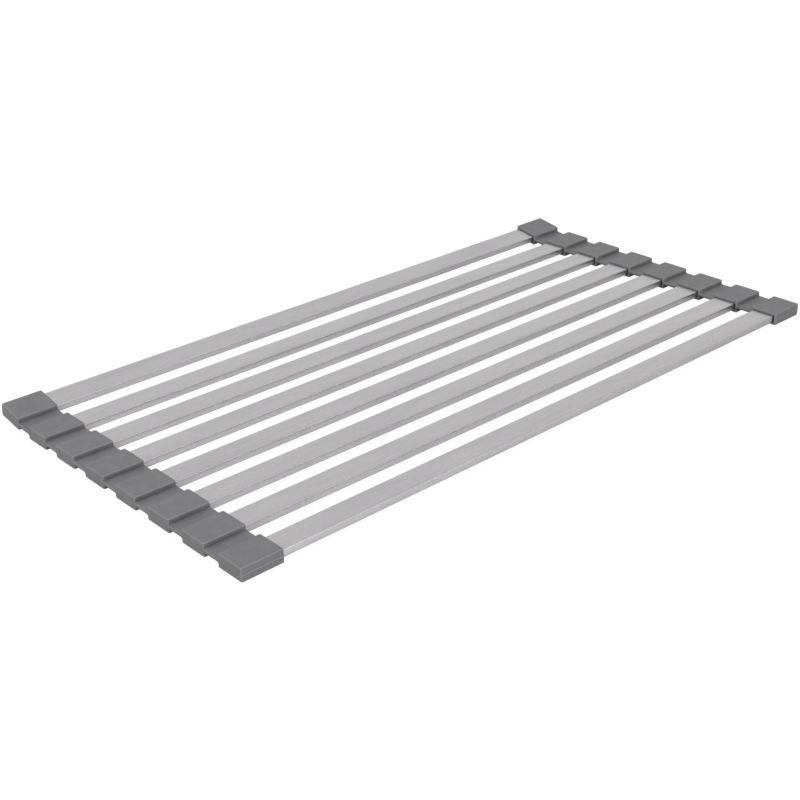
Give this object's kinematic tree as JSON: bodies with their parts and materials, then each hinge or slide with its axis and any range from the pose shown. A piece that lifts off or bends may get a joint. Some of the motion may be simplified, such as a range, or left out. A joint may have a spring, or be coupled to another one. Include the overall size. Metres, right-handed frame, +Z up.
{
  "type": "over-sink dish rack",
  "caption": "Roll-up over-sink drying rack: flat brushed steel tubes joined at both ends by grey silicone strips whose thin webs bend, so it lies flat or rolls up.",
  "frame": {"origin": "centre of the rack's footprint, on the surface that it lies on", "axes": "+X along the tubes, +Y across them towards the free end whose last tube lifts a little, +Z up"},
  "size_m": [0.45, 0.2292, 0.012],
  "materials": {
    "steel": "fine lengthwise brushing, satin",
    "silicone": "matte moulded mid grey"
  },
  "bodies": {
    "slat_8": {"bar_8": "steel", "left_block_8": "silicone", "right_block_8": "silicone", "left_web_7": "silicone", "right_web_7": "silicone"},
    "slat_7": {"bar_7": "steel", "left_block_7": "silicone", "right_block_7": "silicone", "left_web_6": "silicone", "right_web_6": "silicone"},
    "slat_6": {"bar_6": "steel", "left_block_6": "silicone", "right_block_6": "silicone", "left_web_5": "silicone", "right_web_5": "silicone"},
    "slat_5": {"bar_5": "steel", "left_block_5": "silicone", "right_block_5": "silicone", "left_web_4": "silicone", "right_web_4": "silicone"},
    "slat_4": {"bar_4": "steel", "left_block_4": "silicone", "right_block_4": "silicone", "left_web_3": "silicone", "right_web_3": "silicone"},
    "slat_3": {"bar_3": "steel", "left_block_3": "silicone", "right_block_3": "silicone", "left_web_2": "silicone", "right_web_2": "silicone"},
    "slat_2": {"bar_2": "steel", "left_block_2": "silicone", "right_block_2": "silicone", "left_web_1": "silicone", "right_web_1": "silicone"},
    "slat_1": {"bar_1": "steel", "left_block_1": "silicone", "right_block_1": "silicone"}
  },
  "joints": [
    {"name": "web_fold_7", "type": "hinge", "parent": "slat_8", "child": "slat_7", "pos_m": [0, -0.09009, 0.00405], "axis": [1, 0, 0], "range_deg": [0, 48], "stiffness_Nm_per_rad": 0.016, "deforming": ["left_web_7", "right_web_7"]},
    {"name": "web_fold_6", "type": "hinge", "parent": "slat_7", "child": "slat_6", "pos_m": [0, -0.06009, 0.00405], "axis": [1, 0, 0], "range_deg": [0, 54], "stiffness_Nm_per_rad": 0.016, "deforming": ["left_web_6", "right_web_6"]},
    {"name": "web_fold_5", "type": "hinge", "parent": "slat_6", "child": "slat_5", "pos_m": [0, -0.03009, 0.00405], "axis": [1, 0, 0], "range_deg": [0, 60], "stiffness_Nm_per_rad": 0.016, "deforming": ["left_web_5", "right_web_5"]},
    {"name": "web_fold_4", "type": "hinge", "parent": "slat_5", "child": "slat_4", "pos_m": [0, -0.00009, 0.00405], "axis": [1, 0, 0], "range_deg": [0, 66], "stiffness_Nm_per_rad": 0.016, "deforming": ["left_web_4", "right_web_4"]},
    {"name": "web_fold_3", "type": "hinge", "parent": "slat_4", "child": "slat_3", "pos_m": [0, 0.02991, 0.00405], "axis": [1, 0, 0], "range_deg": [0, 72], "stiffness_Nm_per_rad": 0.016, "deforming": ["left_web_3", "right_web_3"]},
    {"name": "web_fold_2", "type": "hinge", "parent": "slat_3", "child": "slat_2", "pos_m": [0, 0.05991, 0.00405], "axis": [1, 0, 0], "range_deg": [0, 78], "stiffness_Nm_per_rad": 0.016, "deforming": ["left_web_2", "right_web_2"]},
    {"name": "web_fold_1", "type": "hinge", "parent": "slat_2", "child": "slat_1", "pos_m": [0, 0.08991, 0.00405], "axis": [1, 0, 0], "range_deg": [-9.5, 74.5], "stiffness_Nm_per_rad": 0.016, "springref_deg": 36.67, "deforming": ["left_web_1", "right_web_1"]}
  ]
}
